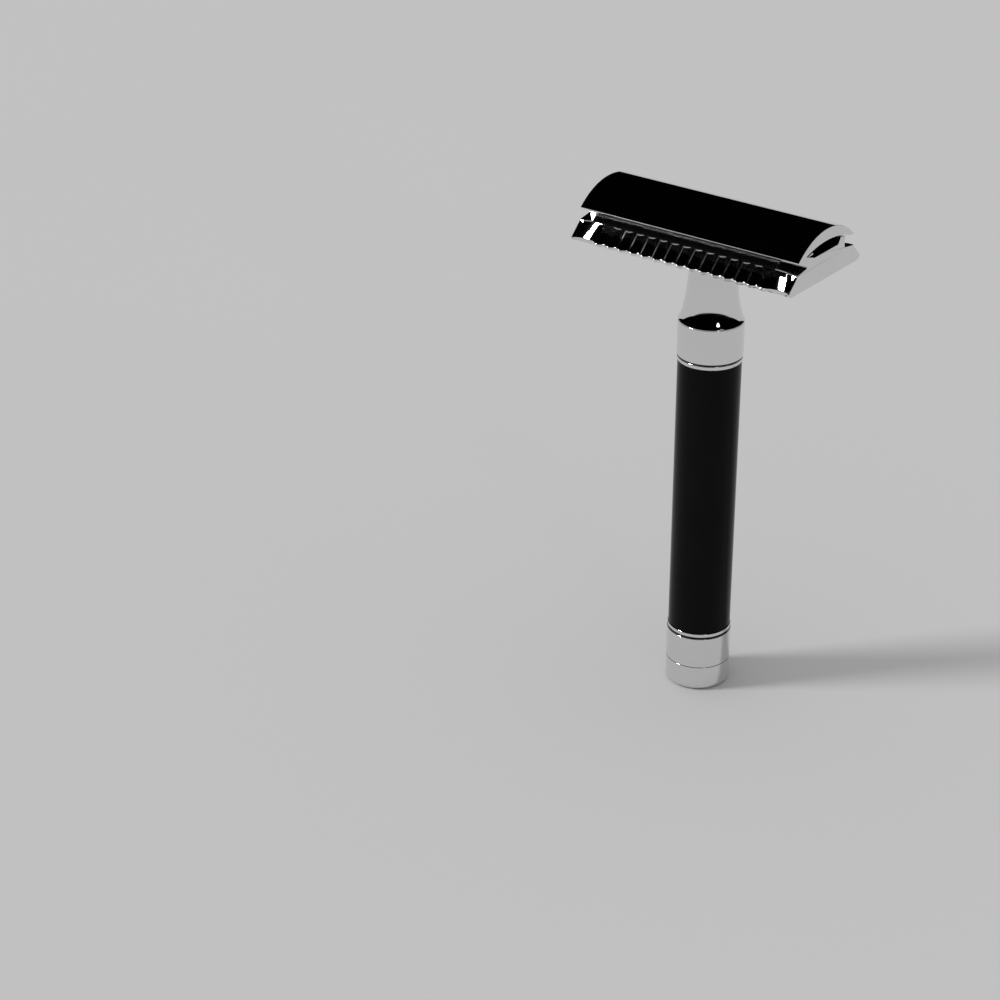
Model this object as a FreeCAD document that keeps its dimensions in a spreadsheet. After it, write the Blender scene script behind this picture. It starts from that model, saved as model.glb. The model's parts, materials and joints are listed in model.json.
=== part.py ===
import FreeCAD, Part
import math
import os
import Sketcher

# A three-piece double-edge safety razor, standing on the end of its handle.
# Frame: millimetres, +Z up along the handle, X along the blade's edges,
# origin at the middle of the flat end that the razor stands on.
# Heights (names ending in _z) are all measured from that flat end.

DIMENSIONS = [
    # head
    ("head_length", 44.5),
    ("cap_width", 18.0),
    ("cap_top_z", 95.0),
    ("cap_edge_z", 91.45),
    ("cap_edge_height", 0.15),
    ("cap_under_z", 92.85),
    ("cap_under_radius", 22.0),
    ("cap_lip_half", 8.0),
    ("plate_bottom_z", 85.86),
    ("plate_bottom_half", 10.6),
    ("plate_tip_half", 11.88),
    ("plate_tip_z", 86.5),
    ("plate_tip_rounding", 0.15),
    ("plate_underside_rounding", 1.6),
    ("bar_foot_half", 11.85),
    ("bar_foot_z", 86.7),
    ("bar_crest_half", 9.2),
    ("bar_crest_z", 89.3),
    ("bar_crest_height", 0.15),
    ("bar_root_z", 89.78),
    ("platform_half", 6.2),
    ("land_half", 4.6),
    ("channel_half", 3.85),
    ("channel_floor_z", 91.02),
    ("blade_gap", 0.05),
    ("scallop_count", 14),
    ("scallop_pitch", 2.4),
    ("scallop_radius", 1.3),
    ("scallop_depth", 0.35),
    ("end_scoop_radius", 10.0),
    ("end_scoop_foot_half", 10.8),
    ("end_scoop_crest_half", 8.7),
    ("end_scoop_from_end", 3.2),
    ("boss_radius", 4.5),
    ("boss_bottom_z", 84.96),
    # blade
    ("blade_length", 43.0),
    ("blade_width", 22.0),
    ("blade_thickness", 0.1),
    ("blade_bevel", 0.4),
    ("blade_edge_length", 37.3),
    ("blade_tab_width", 14.5),
    ("blade_slot_length", 35.0),
    ("blade_slot_width", 1.6),
    # stud and posts
    ("stud_radius", 2.5),
    ("stud_core_radius", 2.02),
    ("stud_socket_z", 93.9),
    ("stud_thread_top_z", 85.7),
    ("stud_end_z", 78.0),
    ("thread_pitch", 0.8),
    ("post_radius", 1.6),
    ("post_offset", 13.5),
    ("post_end_z", 87.0),
    ("hole_clearance", 0.2),
    ("fit_clearance", 0.05),
    # upper fittings of the handle
    ("neck_top_radius", 3.93),
    ("neck_flare_z", 76.0),
    ("neck_flare_radius", 4.86),
    ("neck_flare_rounding", 40.0),
    ("neck_cove_z", 74.6),
    ("neck_cove_radius", 5.21),
    ("neck_cove_rounding", 7.4),
    ("neck_rim_radius", 5.95),
    ("neck_rim_height", 0.1),
    ("neck_pocket_z", 77.0),
    ("bush_radius", 3.2),
    ("collar_radius", 5.96),
    ("collar_top_z", 73.0),
    ("collar_bottom_z", 66.46),
    ("collar_rounding", 0.12),
    ("seal_radius", 5.6),
    ("seal_thickness", 0.3),
    ("ring_radius", 5.88),
    ("ring_thickness", 0.75),
    ("ring_rounding", 0.15),
    ("spigot_radius", 4.2),
    ("spigot_depth", 3.4),
    # grip and what runs through it
    ("grip_radius", 5.77),
    ("grip_bore_radius", 3.0),
    ("grip_rounding", 0.15),
    ("grip_bottom_z", 12.0),
    ("rod_radius", 2.5),
    ("rod_top_z", 70.0),
    ("rod_bottom_z", 2.0),
    # lower fittings of the handle
    ("lower_collar_bottom_z", 4.9),
    ("nut_pocket_radius", 4.35),
    ("nut_pocket_top_z", 8.5),
    ("washer_radius", 4.1),
    ("washer_thickness", 0.5),
    ("nut_across_flats", 7.0),
    ("nut_height", 2.6),
    ("end_cap_edge_rounding", 1.0),
]


class Size:
    """A length that knows its value and the sheet expression that gives it."""

    def __init__(self, value, text):
        self.value = value
        self.text = text

    def _joined(self, other, sign, value):
        return Size(value, "(%s %s %s)" % (self.text, sign, as_size(other).text))

    def __add__(self, other):
        return self._joined(other, "+", self.value + as_size(other).value)

    def __sub__(self, other):
        return self._joined(other, "-", self.value - as_size(other).value)

    def __mul__(self, other):
        return self._joined(other, "*", self.value * as_size(other).value)

    def __truediv__(self, other):
        return self._joined(other, "/", self.value / as_size(other).value)

    def __neg__(self):
        return Size(-self.value, "(0 - %s)" % self.text)


def as_size(number):
    if isinstance(number, Size):
        return number
    return Size(float(number), repr(number))


def arc_height(radius, across):
    """Height above the centre of a circle at a distance across from its middle."""
    value = math.sqrt(radius.value ** 2 - across.value ** 2)
    return Size(value, "sqrt(%s ^ 2 - %s ^ 2)" % (radius.text, across.text))


def point_on_arc(radius, along):
    """Where a length along the arc, counted from its top, ends: across and up."""
    turn = along.value / radius.value
    angle = "(%s / %s * 180 / pi)" % (along.text, radius.text)
    across = Size(radius.value * math.sin(turn), "%s * sin(%s)" % (radius.text, angle))
    up = Size(radius.value * math.cos(turn), "%s * cos(%s)" % (radius.text, angle))
    return across, up


def slope_angle(rise, run):
    value = math.degrees(math.atan2(rise.value, run.value))
    return Size(value, "atan2(%s; %s)" % (rise.text, run.text))


def distance(rise, run):
    value = math.hypot(rise.value, run.value)
    return Size(value, "sqrt(%s ^ 2 + %s ^ 2)" % (rise.text, run.text))


def fill_sheet(doc):
    """Writes the dimensions into the sheet and returns them as sizes."""
    sheet = doc.addObject("Spreadsheet::Sheet", "Dims")
    sizes = {}
    for row, (alias, number) in enumerate(DIMENSIONS, start=1):
        sheet.set("A%d" % row, alias)
        sheet.set("B%d" % row, str(number))
        sheet.setAlias("B%d" % row, alias)
        sizes[alias] = Size(number, "Dims." + alias)
    return sizes


doc = FreeCAD.newDocument("SafetyRazor")
dim = fill_sheet(doc)
doc.recompute()


# ---- building blocks --------------------------------------------------------

def bind(thing, path, size):
    thing.setExpression(path, as_size(size).text)


def new_body(name):
    body = doc.addObject("PartDesign::Body", name)
    body.Label = name
    return body


def new_sketch(body, name, plane_role):
    plane = None
    for feature in body.Origin.OriginFeatures:
        if feature.Role == plane_role:
            plane = feature
    sketch = body.newObject("Sketcher::SketchObject", name)
    sketch.AttachmentSupport = [(plane, "")]
    sketch.MapMode = "FlatFace"
    return sketch


def hold_distance(sketch, kind, geometry, vertex, size):
    """Holds a vertex at a distance from the sketch's origin, along X or along Y."""
    if abs(as_size(size).value) < 1e-9:
        axis = -2 if kind == "DistanceX" else -1
        sketch.addConstraint(Sketcher.Constraint("PointOnObject", geometry, vertex, axis))
        return
    rule = Sketcher.Constraint(kind, -1, 1, geometry, vertex, size.value)
    index = sketch.addConstraint(rule)
    bind(sketch, "Constraints[%d]" % index, size)


def arc_between(start, end, radius, turn):
    """The short arc from start to end that turns left (1) or right (-1)."""
    middle = (start + end) * 0.5
    chord = end - start
    reach = math.sqrt(radius ** 2 - (chord.Length / 2) ** 2)
    side = FreeCAD.Vector(-chord.y, chord.x, 0) * (turn / chord.Length)
    centre = middle + side * reach
    first, last = (start, end) if turn > 0 else (end, start)
    angles = []
    for corner in (first, last):
        angles.append(math.atan2(corner.y - centre.y, corner.x - centre.x))
    if angles[1] < angles[0]:
        angles[1] += 2 * math.pi
    circle = Part.Circle(centre, FreeCAD.Vector(0, 0, 1), radius)
    return Part.ArcOfCircle(circle, angles[0], angles[1])


def draw_outline(sketch, corners):
    """Draws a closed outline and holds every corner by the sheet.

    Each corner is (x, y), reached by a straight line, or (x, y, radius, turn),
    reached by an arc that turns left (1) or right (-1).
    """
    places = []
    for corner in corners:
        places.append(FreeCAD.Vector(as_size(corner[0]).value, as_size(corner[1]).value, 0))
    ends = []
    for number, corner in enumerate(corners):
        start = places[number - 1]
        end = places[number]
        if len(corner) == 2:
            index = sketch.addGeometry(Part.LineSegment(start, end), False)
            ends.append((index, 1, 2))
            continue
        radius, turn = corner[2], corner[3]
        index = sketch.addGeometry(arc_between(start, end, radius.value, turn), False)
        ends.append((index, 1, 2) if turn > 0 else (index, 2, 1))
        held = sketch.addConstraint(Sketcher.Constraint("Radius", index, radius.value))
        bind(sketch, "Constraints[%d]" % held, radius)
    for number, corner in enumerate(corners):
        index, first, last = ends[number]
        next_index, next_first, next_last = ends[(number + 1) % len(ends)]
        sketch.addConstraint(Sketcher.Constraint("Coincident", index, last, next_index, next_first))
        hold_distance(sketch, "DistanceX", index, last, corner[0])
        hold_distance(sketch, "DistanceY", index, last, corner[1])


def draw_circle(sketch, x, radius):
    """A circle centred on the sketch's X axis."""
    centre = FreeCAD.Vector(as_size(x).value, 0, 0)
    circle = Part.Circle(centre, FreeCAD.Vector(0, 0, 1), radius.value)
    index = sketch.addGeometry(circle, False)
    held = sketch.addConstraint(Sketcher.Constraint("Radius", index, radius.value))
    bind(sketch, "Constraints[%d]" % held, radius)
    hold_distance(sketch, "DistanceX", index, 3, x)
    hold_distance(sketch, "DistanceY", index, 3, 0)


def rectangle(low_x, low_y, high_x, high_y):
    return [(low_x, low_y), (high_x, low_y), (high_x, high_y), (low_x, high_y)]


def pad_along_x(body, name, outline, length):
    """A bar along X, centred on the origin, with its outline in Y and Z."""
    sketch = new_sketch(body, name + "_outline", "YZ_Plane")
    bind(sketch, "AttachmentOffset.Base.z", -(length / 2))
    draw_outline(sketch, outline)
    pad = body.newObject("PartDesign::Pad", name)
    pad.Profile = sketch
    bind(pad, "Length", length)
    sketch.Visibility = False
    return pad


def revolve(body, name, outline):
    """A turned piece whose half outline is given as radius and height."""
    sketch = new_sketch(body, name + "_outline", "XZ_Plane")
    draw_outline(sketch, outline)
    turned = body.newObject("PartDesign::Revolution", name)
    turned.Profile = sketch
    turned.ReferenceAxis = (sketch, ["V_Axis"])
    turned.Angle = 360
    sketch.Visibility = False
    return turned


def checked_cut(body, feature):
    """Makes sure that a feature meant to remove material has removed some."""
    doc.recompute()
    before = feature.BaseFeature.Shape.Volume
    if feature.Shape.isNull() or feature.Shape.Volume >= before - 1e-6:
        raise RuntimeError("%s in %s cuts nothing" % (feature.Name, body.Name))


def pocket_up_or_down(body, name, sketch, upward):
    pocket = body.newObject("PartDesign::Pocket", name)
    pocket.Profile = sketch
    pocket.Type = "ThroughAll"
    pocket.Reversed = upward
    sketch.Visibility = False
    checked_cut(body, pocket)
    return pocket


def round_edges(body, name, size, wanted):
    """Rounds the body's edges that the wanted function picks."""
    doc.recompute()
    base = body.Tip
    picked = []
    for number, edge in enumerate(base.Shape.Edges, start=1):
        if wanted(edge):
            picked.append("Edge%d" % number)
    if not picked:
        raise RuntimeError("no edge to round in " + body.Name)
    fillet = body.newObject("PartDesign::Fillet", name)
    fillet.Base = (base, picked)
    bind(fillet, "Radius", size)
    return fillet


def outer_rim(radius, heights):
    """Picks full circles of the given radius at one of the given heights."""
    def wanted(edge):
        if not isinstance(edge.Curve, Part.Circle):
            return False
        if abs(edge.Curve.Radius - radius.value) > 1e-4:
            return False
        return any(abs(edge.Curve.Center.z - z.value) < 1e-4 for z in heights)
    return wanted


# ---- the head ---------------------------------------------------------------

def build_top_cap():
    body = new_body("top_cap")
    half = dim["cap_width"] / 2
    lip = dim["cap_lip_half"]
    under_radius = dim["cap_under_radius"]
    lip_z = dim["cap_under_z"] - under_radius + arc_height(under_radius, lip)
    edge_high_z = dim["cap_edge_z"]
    edge_low_z = edge_high_z - dim["cap_edge_height"]
    rise = dim["cap_top_z"] - edge_high_z
    top_radius = (half * half + rise * rise) / (rise * 2)
    pad_along_x(body, "cap_shell", [
        (lip, lip_z, under_radius, -1),
        (half, edge_low_z),
        (half, edge_high_z),
        (-half, edge_high_z, top_radius, 1),
        (-half, edge_low_z),
        (-lip, lip_z),
    ], dim["head_length"])

    sockets = new_sketch(body, "cap_sockets_outline", "XY_Plane")
    bind(sockets, "AttachmentOffset.Base.z", dim["stud_socket_z"])
    draw_circle(sockets, 0, dim["stud_radius"] + dim["fit_clearance"])
    draw_circle(sockets, dim["post_offset"], dim["post_radius"] + dim["fit_clearance"])
    draw_circle(sockets, -dim["post_offset"], dim["post_radius"] + dim["fit_clearance"])
    pocket_up_or_down(body, "cap_sockets", sockets, upward=False)
    return body


def build_cap_stud():
    """The threaded stud: a plain shank above, a right-hand thread below."""
    body = new_body("cap_stud")
    core = dim["stud_core_radius"]
    revolve(body, "stud_core", [
        (0, dim["stud_end_z"]),
        (core - 0.5, dim["stud_end_z"]),
        (core, dim["stud_end_z"] + 0.5),
        (core, dim["stud_thread_top_z"]),
        (dim["stud_radius"], dim["stud_thread_top_z"] + 0.4),
        (dim["stud_radius"], dim["stud_socket_z"]),
        (0, dim["stud_socket_z"]),
    ])
    ridge = new_sketch(body, "thread_ridge_outline", "XZ_Plane")
    pitch = dim["thread_pitch"]
    start_z = dim["stud_end_z"] + pitch
    draw_outline(ridge, [
        (core - 0.08, start_z - pitch * 0.42),
        (dim["stud_radius"], start_z - pitch * 0.07),
        (dim["stud_radius"], start_z + pitch * 0.07),
        (core - 0.08, start_z + pitch * 0.42),
    ])
    thread = body.newObject("PartDesign::AdditiveHelix", "stud_thread")
    thread.Profile = ridge
    thread.ReferenceAxis = (ridge, ["V_Axis"])
    thread.Mode = "pitch-height-angle"
    bind(thread, "Pitch", pitch)
    bind(thread, "Height", dim["stud_thread_top_z"] - dim["stud_end_z"] - pitch * 1.3)
    ridge.Visibility = False
    return body


def build_locating_post(name, side):
    body = new_body(name)
    revolve(body, name + "_turned", [
        (0, dim["post_end_z"]),
        (dim["post_radius"] - 0.4, dim["post_end_z"]),
        (dim["post_radius"], dim["post_end_z"] + 0.4),
        (dim["post_radius"], dim["stud_socket_z"]),
        (0, dim["stud_socket_z"]),
    ])
    bind(body, "Placement.Base.x", dim["post_offset"] * side)
    return body


def build_razor_blade():
    """A double-edge blade, bent to the curve under the cap."""
    body = new_body("razor_blade")
    centre_z = dim["cap_under_z"] - dim["cap_under_radius"]
    outer = dim["cap_under_radius"] - dim["blade_gap"]
    inner = outer - dim["blade_thickness"]
    middle = outer - dim["blade_thickness"] / 2
    half = dim["blade_width"] / 2
    honed = half - dim["blade_bevel"]
    outer_y, outer_up = point_on_arc(outer, honed)
    inner_y, inner_up = point_on_arc(inner, honed)
    tip_y, tip_up = point_on_arc(middle, half)
    pad_along_x(body, "blade_strip", [
        (-outer_y, centre_z + outer_up, outer, 1),
        (-tip_y, centre_z + tip_up),
        (-inner_y, centre_z + inner_up),
        (inner_y, centre_z + inner_up, inner, -1),
        (tip_y, centre_z + tip_up),
        (outer_y, centre_z + outer_up),
    ], dim["blade_length"])

    slot = new_sketch(body, "blade_slot_outline", "XY_Plane")
    slot_x = dim["blade_slot_length"] / 2
    slot_y = dim["blade_slot_width"] / 2
    draw_outline(slot, rectangle(-slot_x, -slot_y, slot_x, slot_y))
    pocket_up_or_down(body, "blade_slot", slot, upward=True)

    holes = new_sketch(body, "blade_holes_outline", "XY_Plane")
    draw_circle(holes, 0, dim["stud_radius"] + dim["hole_clearance"])
    draw_circle(holes, dim["post_offset"], dim["post_radius"] + dim["hole_clearance"])
    draw_circle(holes, -dim["post_offset"], dim["post_radius"] + dim["hole_clearance"])
    pocket_up_or_down(body, "blade_holes", holes, upward=True)

    corners = new_sketch(body, "blade_corners_outline", "XY_Plane")
    edge_x = dim["blade_edge_length"] / 2
    far_x = dim["blade_length"]
    tab_y = dim["blade_tab_width"] / 2
    far_y = dim["blade_width"]
    for x_side in (1, -1):
        for y_side in (1, -1):
            draw_outline(corners, rectangle(
                edge_x * x_side, tab_y * y_side, far_x * x_side, far_y * y_side))
    pocket_up_or_down(body, "blade_corners", corners, upward=True)
    return body


def add_bar_cut(body, name, side, x, radius, axis_lift, foot_half, crest_half):
    """A round-bottomed cut down one safety bar.

    Its axis is axis_lift outside the line from foot_half, low, to crest_half, high.
    """
    rise = dim["bar_crest_z"] - dim["bar_foot_z"]
    run = foot_half - crest_half
    tilt = slope_angle(rise, run)
    length = distance(rise, run)
    lift_y = axis_lift * (rise / length) * side
    lift_z = axis_lift * (run / length)
    sketch = new_sketch(body, name + "_outline", "XY_Plane")
    bind(sketch, "AttachmentOffset.Base.x", x)
    bind(sketch, "AttachmentOffset.Base.y", foot_half * side + lift_y)
    bind(sketch, "AttachmentOffset.Base.z", dim["bar_foot_z"] + lift_z)
    sketch.AttachmentOffset = FreeCAD.Placement(
        sketch.AttachmentOffset.Base, FreeCAD.Rotation(FreeCAD.Vector(1, 0, 0), 1))
    bind(sketch, "AttachmentOffset.Rotation.Angle", tilt * -side)
    overrun = 2.0
    foot = -overrun if side < 0 else -(length + overrun)
    crest = length + overrun if side < 0 else overrun
    draw_outline(sketch, rectangle(0, as_size(foot), radius, as_size(crest)))
    groove = body.newObject("PartDesign::Groove", name)
    groove.Profile = sketch
    groove.ReferenceAxis = (sketch, ["V_Axis"])
    groove.Angle = 360
    sketch.Visibility = False
    checked_cut(body, groove)
    return groove


def build_base_plate():
    body = new_body("base_plate")
    land_radius = dim["cap_under_radius"] - dim["blade_gap"] * 2 - dim["blade_thickness"]
    centre_z = dim["cap_under_z"] - dim["cap_under_radius"]
    platform = dim["platform_half"]
    land = dim["land_half"]
    platform_z = centre_z + arc_height(land_radius, platform)
    land_z = centre_z + arc_height(land_radius, land)
    foot = (dim["bar_foot_half"], dim["bar_foot_z"], dim["plate_tip_rounding"], 1)
    right = [
        (dim["plate_bottom_half"], dim["plate_bottom_z"]),
        (dim["plate_tip_half"], dim["plate_tip_z"], dim["plate_underside_rounding"], 1),
        foot,
        (dim["bar_crest_half"], dim["bar_crest_z"] - dim["bar_crest_height"]),
        (dim["bar_crest_half"], dim["bar_crest_z"]),
        (platform, dim["bar_root_z"]),
        (platform, platform_z),
        (land, land_z, land_radius, 1),
        (dim["channel_half"], dim["channel_floor_z"]),
    ]
    outline = right + mirrored_outline(right)
    pad_along_x(body, "plate_bar", outline, dim["head_length"])

    boss = new_sketch(body, "plate_boss_outline", "XY_Plane")
    bind(boss, "AttachmentOffset.Base.z", dim["boss_bottom_z"])
    draw_circle(boss, 0, dim["boss_radius"])
    boss_pad = body.newObject("PartDesign::Pad", "plate_boss")
    boss_pad.Profile = boss
    bind(boss_pad, "Length", dim["plate_bottom_z"] - dim["boss_bottom_z"] + 0.5)
    boss.Visibility = False

    holes = new_sketch(body, "plate_holes_outline", "XY_Plane")
    draw_circle(holes, 0, dim["stud_radius"] + dim["hole_clearance"])
    draw_circle(holes, dim["post_offset"], dim["post_radius"] + dim["hole_clearance"])
    draw_circle(holes, -dim["post_offset"], dim["post_radius"] + dim["hole_clearance"])
    pocket_up_or_down(body, "plate_holes", holes, upward=True)

    scallop_run = dim["scallop_pitch"] * (dim["scallop_count"] - 1)
    scoop_x = dim["head_length"] / 2 - dim["end_scoop_from_end"]
    for side, word in ((-1, "front"), (1, "back")):
        scallop = add_bar_cut(body, word + "_scallop", side, -(scallop_run / 2),
                              dim["scallop_radius"], dim["scallop_radius"] - dim["scallop_depth"],
                              dim["bar_foot_half"], dim["bar_crest_half"])
        row = body.newObject("PartDesign::LinearPattern", word + "_scallops")
        row.Originals = [scallop]
        row.Direction = (scallop.Profile[0], ["H_Axis"])
        bind(row, "Length", scallop_run)
        bind(row, "Occurrences", dim["scallop_count"])
        body.Tip = row
        checked_cut(body, row)
        for x_side, x_word in ((-1, "left"), (1, "right")):
            add_bar_cut(body, word + "_" + x_word + "_scoop", side, scoop_x * x_side,
                        dim["end_scoop_radius"], dim["end_scoop_radius"],
                        dim["end_scoop_foot_half"], dim["end_scoop_crest_half"])
    return body


def mirrored_outline(right):
    """The left half of an outline that is the same on both sides of the middle."""
    left = []
    for number in range(len(right) - 1, -1, -1):
        x, z = right[number][0], right[number][1]
        following = right[number + 1] if number + 1 < len(right) else ()
        if len(following) == 4:
            left.append((-x, z, following[2], following[3]))
        else:
            left.append((-x, z))
    return left


# ---- the handle -------------------------------------------------------------

def turned_ring(name, outer, inner, low_z, high_z):
    body = new_body(name)
    revolve(body, name + "_turned", rectangle(inner, low_z, outer, high_z))
    return body


def build_neck():
    """The neck, with a pocket for the bush and a spigot that centres the collar."""
    body = new_body("neck")
    spigot = dim["spigot_radius"]
    spigot_end_z = upper_grip_z() - dim["spigot_depth"]
    rod_bore = dim["rod_radius"] + dim["fit_clearance"]
    bush_bore = dim["bush_radius"] + dim["fit_clearance"]
    revolve(body, "neck_turned", [
        (rod_bore, spigot_end_z),
        (spigot, spigot_end_z),
        (spigot, dim["collar_top_z"]),
        (dim["neck_rim_radius"], dim["collar_top_z"]),
        (dim["neck_rim_radius"], dim["collar_top_z"] + dim["neck_rim_height"]),
        (dim["neck_cove_radius"], dim["neck_cove_z"], dim["neck_cove_rounding"], -1),
        (dim["neck_flare_radius"], dim["neck_flare_z"], dim["neck_flare_rounding"], -1),
        (dim["neck_top_radius"], dim["boss_bottom_z"]),
        (bush_bore, dim["boss_bottom_z"]),
        (bush_bore, dim["neck_pocket_z"]),
        (0, dim["neck_pocket_z"]),
        (0, dim["rod_top_z"]),
        (rod_bore, dim["rod_top_z"]),
    ])
    return body


def upper_grip_z():
    return dim["collar_bottom_z"] - dim["seal_thickness"] - dim["ring_thickness"]


def build_neck_bush():
    return turned_ring("neck_bush", dim["bush_radius"], dim["stud_radius"] + dim["fit_clearance"],
                       dim["neck_pocket_z"], dim["boss_bottom_z"])


def build_collar():
    bore = dim["spigot_radius"] + dim["fit_clearance"]
    heights = (dim["collar_bottom_z"], dim["collar_top_z"])
    body = turned_ring("collar", dim["collar_radius"], bore, heights[0], heights[1])
    round_edges(body, "collar_rims", dim["collar_rounding"],
                outer_rim(dim["collar_radius"], heights))
    return body


def build_trim_ring(name, low_z):
    bore = dim["spigot_radius"] + dim["fit_clearance"]
    heights = (low_z, low_z + dim["ring_thickness"])
    body = turned_ring(name, dim["ring_radius"], bore, heights[0], heights[1])
    round_edges(body, name + "_rims", dim["ring_rounding"],
                outer_rim(dim["ring_radius"], heights))
    return body


def build_seal(name, low_z):
    bore = dim["spigot_radius"] + dim["fit_clearance"]
    return turned_ring(name, dim["seal_radius"], bore, low_z, low_z + dim["seal_thickness"])


def build_grip_sleeve():
    body = new_body("grip_sleeve")
    low_z = dim["grip_bottom_z"]
    high_z = upper_grip_z()
    bore = dim["grip_bore_radius"]
    counterbore = dim["spigot_radius"] + dim["fit_clearance"]
    depth = dim["spigot_depth"] + 0.1
    revolve(body, "grip_turned", [
        (counterbore, low_z),
        (dim["grip_radius"], low_z),
        (dim["grip_radius"], high_z),
        (counterbore, high_z),
        (counterbore, high_z - depth),
        (bore, high_z - depth),
        (bore, low_z + depth),
        (counterbore, low_z + depth),
    ])
    round_edges(body, "grip_rims", dim["grip_rounding"],
                outer_rim(dim["grip_radius"], (low_z, high_z)))
    return body


def build_core_rod():
    body = new_body("core_rod")
    radius = dim["rod_radius"]
    revolve(body, "rod_turned", [
        (0, dim["rod_bottom_z"]),
        (radius - 0.4, dim["rod_bottom_z"]),
        (radius, dim["rod_bottom_z"] + 0.4),
        (radius, dim["rod_top_z"] - 0.4),
        (radius - 0.4, dim["rod_top_z"]),
        (0, dim["rod_top_z"]),
    ])
    return body


def lower_collar_top_z():
    return dim["grip_bottom_z"] - dim["ring_thickness"] - dim["seal_thickness"]


def build_lower_collar():
    body = new_body("lower_collar")
    low_z = dim["lower_collar_bottom_z"]
    high_z = lower_collar_top_z()
    spigot_end_z = dim["grip_bottom_z"] + dim["spigot_depth"]
    rod_bore = dim["rod_radius"] + dim["fit_clearance"]
    revolve(body, "lower_collar_turned", [
        (dim["nut_pocket_radius"], low_z),
        (dim["collar_radius"], low_z),
        (dim["collar_radius"], high_z),
        (dim["spigot_radius"], high_z),
        (dim["spigot_radius"], spigot_end_z),
        (rod_bore, spigot_end_z),
        (rod_bore, dim["nut_pocket_top_z"]),
        (dim["nut_pocket_radius"], dim["nut_pocket_top_z"]),
    ])
    round_edges(body, "lower_collar_rims", dim["collar_rounding"],
                outer_rim(dim["collar_radius"], (low_z, high_z)))
    return body


def build_clamp_washer():
    high_z = dim["nut_pocket_top_z"]
    return turned_ring("clamp_washer", dim["washer_radius"], dim["rod_radius"] + dim["fit_clearance"],
                       high_z - dim["washer_thickness"], high_z)


def build_clamp_nut():
    """A hexagon nut on the tie rod, bored to clear it."""
    body = new_body("clamp_nut")
    high_z = dim["nut_pocket_top_z"] - dim["washer_thickness"]
    low_z = high_z - dim["nut_height"]
    corner_radius = dim["nut_across_flats"] / math.sqrt(3)
    corners = []
    for number in range(6):
        angle = math.radians(60 * number)
        corners.append((corner_radius * math.cos(angle), corner_radius * math.sin(angle)))
    sketch = new_sketch(body, "nut_outline", "XY_Plane")
    bind(sketch, "AttachmentOffset.Base.z", low_z)
    draw_outline(sketch, corners)
    draw_circle(sketch, 0, dim["rod_radius"] + dim["fit_clearance"])
    pad = body.newObject("PartDesign::Pad", "nut_pad")
    pad.Profile = sketch
    bind(pad, "Length", dim["nut_height"])
    sketch.Visibility = False
    return body


def build_end_cap():
    """The end cap, screwed onto the tie rod; the razor stands on its flat face."""
    body = new_body("end_cap")
    rod_bore = dim["rod_radius"] + dim["fit_clearance"]
    high_z = dim["lower_collar_bottom_z"]
    revolve(body, "end_cap_turned", [
        (0, 0),
        (dim["collar_radius"], 0),
        (dim["collar_radius"], high_z),
        (rod_bore, high_z),
        (rod_bore, dim["rod_bottom_z"]),
        (0, dim["rod_bottom_z"]),
    ])
    round_edges(body, "end_cap_foot", dim["end_cap_edge_rounding"],
                outer_rim(dim["collar_radius"], (as_size(0),)))
    round_edges(body, "end_cap_rim", dim["collar_rounding"],
                outer_rim(dim["collar_radius"], (high_z,)))
    return body


def build_all():
    return [
        build_top_cap(),
        build_cap_stud(),
        build_locating_post("locating_post_left", -1),
        build_locating_post("locating_post_right", 1),
        build_razor_blade(),
        build_base_plate(),
        build_neck(),
        build_neck_bush(),
        build_collar(),
        build_seal("upper_seal", dim["collar_bottom_z"] - dim["seal_thickness"]),
        build_trim_ring("upper_trim_ring", upper_grip_z()),
        build_grip_sleeve(),
        build_core_rod(),
        build_trim_ring("lower_trim_ring", dim["grip_bottom_z"] - dim["ring_thickness"]),
        build_seal("lower_seal", lower_collar_top_z()),
        build_lower_collar(),
        build_clamp_washer(),
        build_clamp_nut(),
        build_end_cap(),
    ]


def check_document():
    for thing in doc.Objects:
        if "Invalid" in thing.State or "Error" in thing.State:
            raise RuntimeError("%s failed: %s" % (thing.Name, thing.State))


def write_parts(bodies):
    os.makedirs("parts", exist_ok=True)
    for body in bodies:
        shape = body.Shape
        if shape.isNull() or not shape.isValid() or len(shape.Solids) != 1:
            raise RuntimeError(body.Label + " isn't one valid solid")
        shape.exportStep("parts/" + body.Label + ".step")
        box = shape.BoundBox
        print("%-20s %8.2f mm3  x %.2f..%.2f  y %.2f..%.2f  z %.2f..%.2f" % (
            body.Label, shape.Volume, box.XMin, box.XMax, box.YMin, box.YMax, box.ZMin, box.ZMax))


bodies = build_all()
doc.recompute()
check_document()
write_parts(bodies)
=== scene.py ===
import json
import math

import bmesh
import bpy
import numpy as np
from mathutils import Matrix, Vector

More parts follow.
